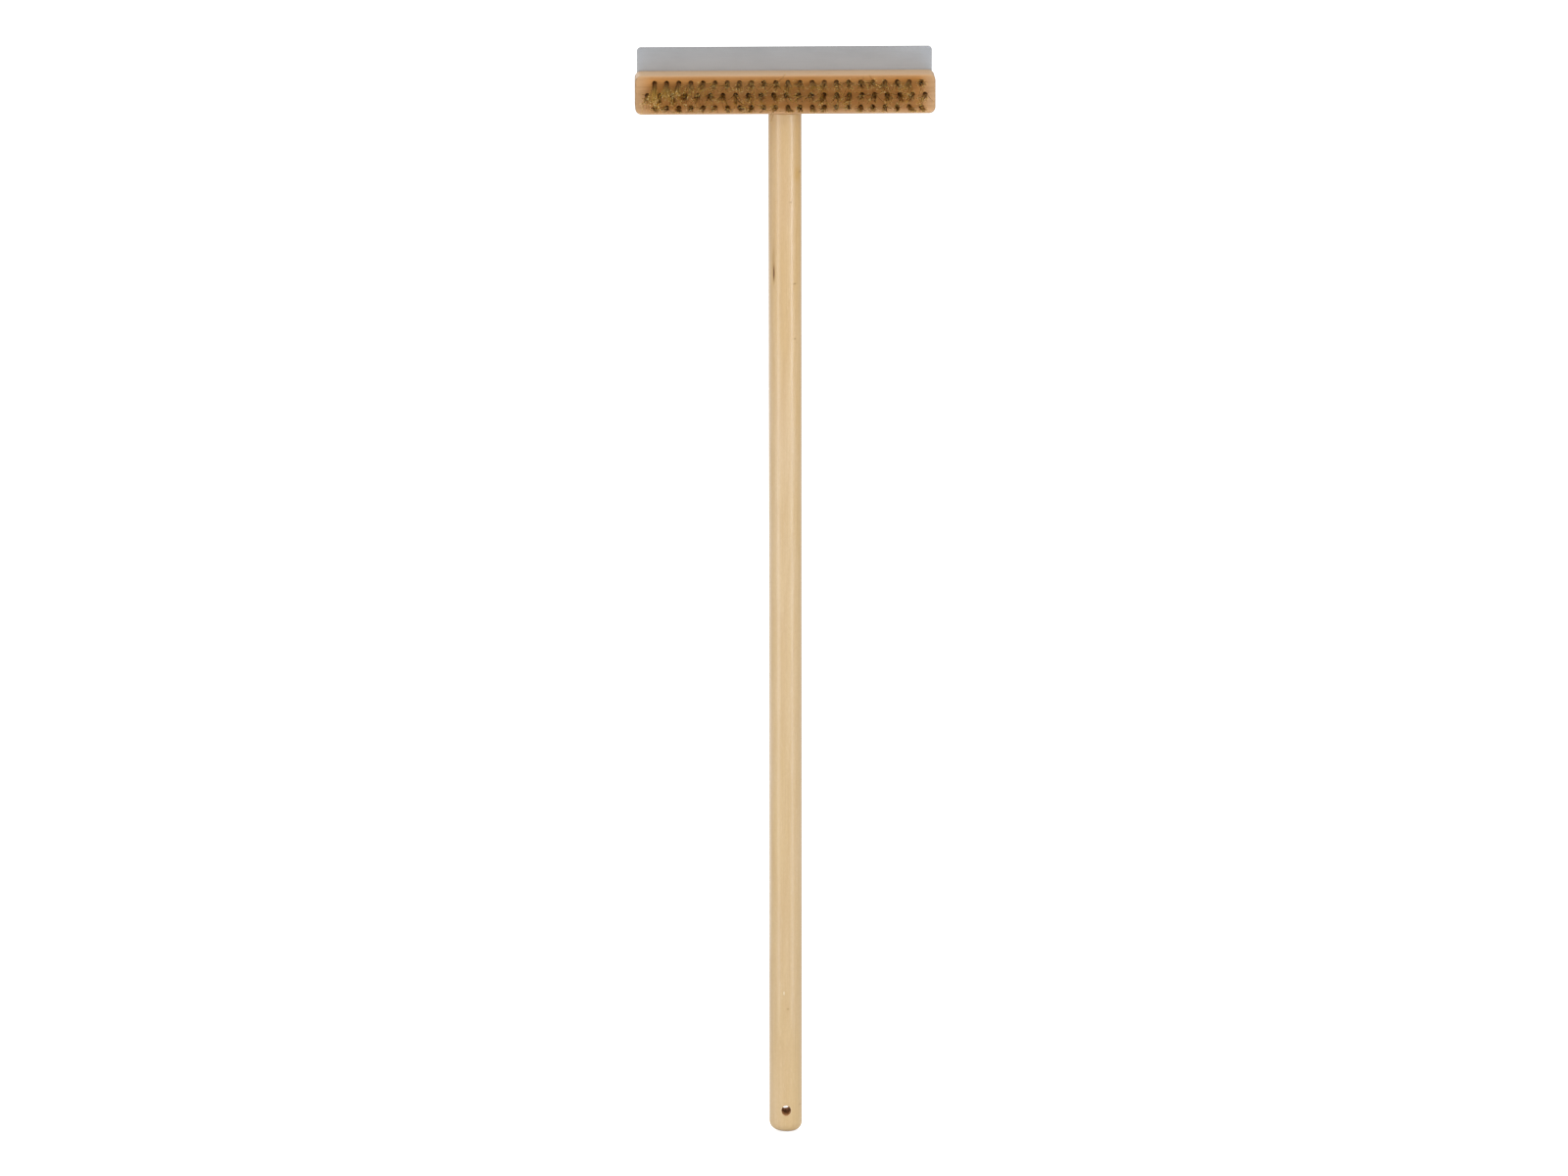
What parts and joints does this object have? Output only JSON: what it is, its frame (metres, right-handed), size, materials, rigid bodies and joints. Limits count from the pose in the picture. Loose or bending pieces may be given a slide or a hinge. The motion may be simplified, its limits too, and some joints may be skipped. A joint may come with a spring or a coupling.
{
  "type": "long-handled wire scrub brush with scraper",
  "caption": "Long-handled scrub brush: a round wooden handle with a hanging hole, a rectangular wooden head with rows of brass wire tufts, and a flat steel scraper blade on its back edge.",
  "frame": {"origin": "centre of the handle's flat butt", "axes": "+Z along the handle from the butt to the head; X along the head's length; the tufts point towards -Y and the blade is on the +Y side"},
  "size_m": [0.254, 0.0617, 0.9425],
  "materials": {
    "handle_wood": "fine sanded pale hardwood with a thin satin lacquer",
    "block_wood": "sanded hardwood, satin, grain along the block",
    "blade_steel": "matte rolled steel sheet",
    "screw_steel": "bright zinc plate",
    "brass_wire": "bright drawn crimped wire"
  },
  "bodies": {
    "root": {"handle": "handle_wood", "head_block": "block_wood", "scraper_blade": "blade_steel", "scraper_screw_1": "screw_steel", "scraper_screw_2": "screw_steel", "scraper_screw_3": "screw_steel", "scraper_screw_4": "screw_steel", "handle_screw": "screw_steel", "tuft_column_01": "brass_wire", "tuft_column_02": "brass_wire", "tuft_column_03": "brass_wire", "tuft_column_04": "brass_wire", "tuft_column_05": "brass_wire", "tuft_column_06": "brass_wire", "tuft_column_07": "brass_wire", "tuft_column_08": "brass_wire", "tuft_column_09": "brass_wire", "tuft_column_10": "brass_wire", "tuft_column_11": "brass_wire", "tuft_column_12": "brass_wire", "tuft_column_13": "brass_wire", "tuft_column_14": "brass_wire", "tuft_column_15": "brass_wire", "tuft_column_16": "brass_wire", "tuft_column_17": "brass_wire", "tuft_column_18": "brass_wire", "tuft_column_19": "brass_wire", "tuft_column_20": "brass_wire", "tuft_column_21": "brass_wire", "tuft_column_22": "brass_wire", "tuft_column_23": "brass_wire"}
  },
  "joints": []
}
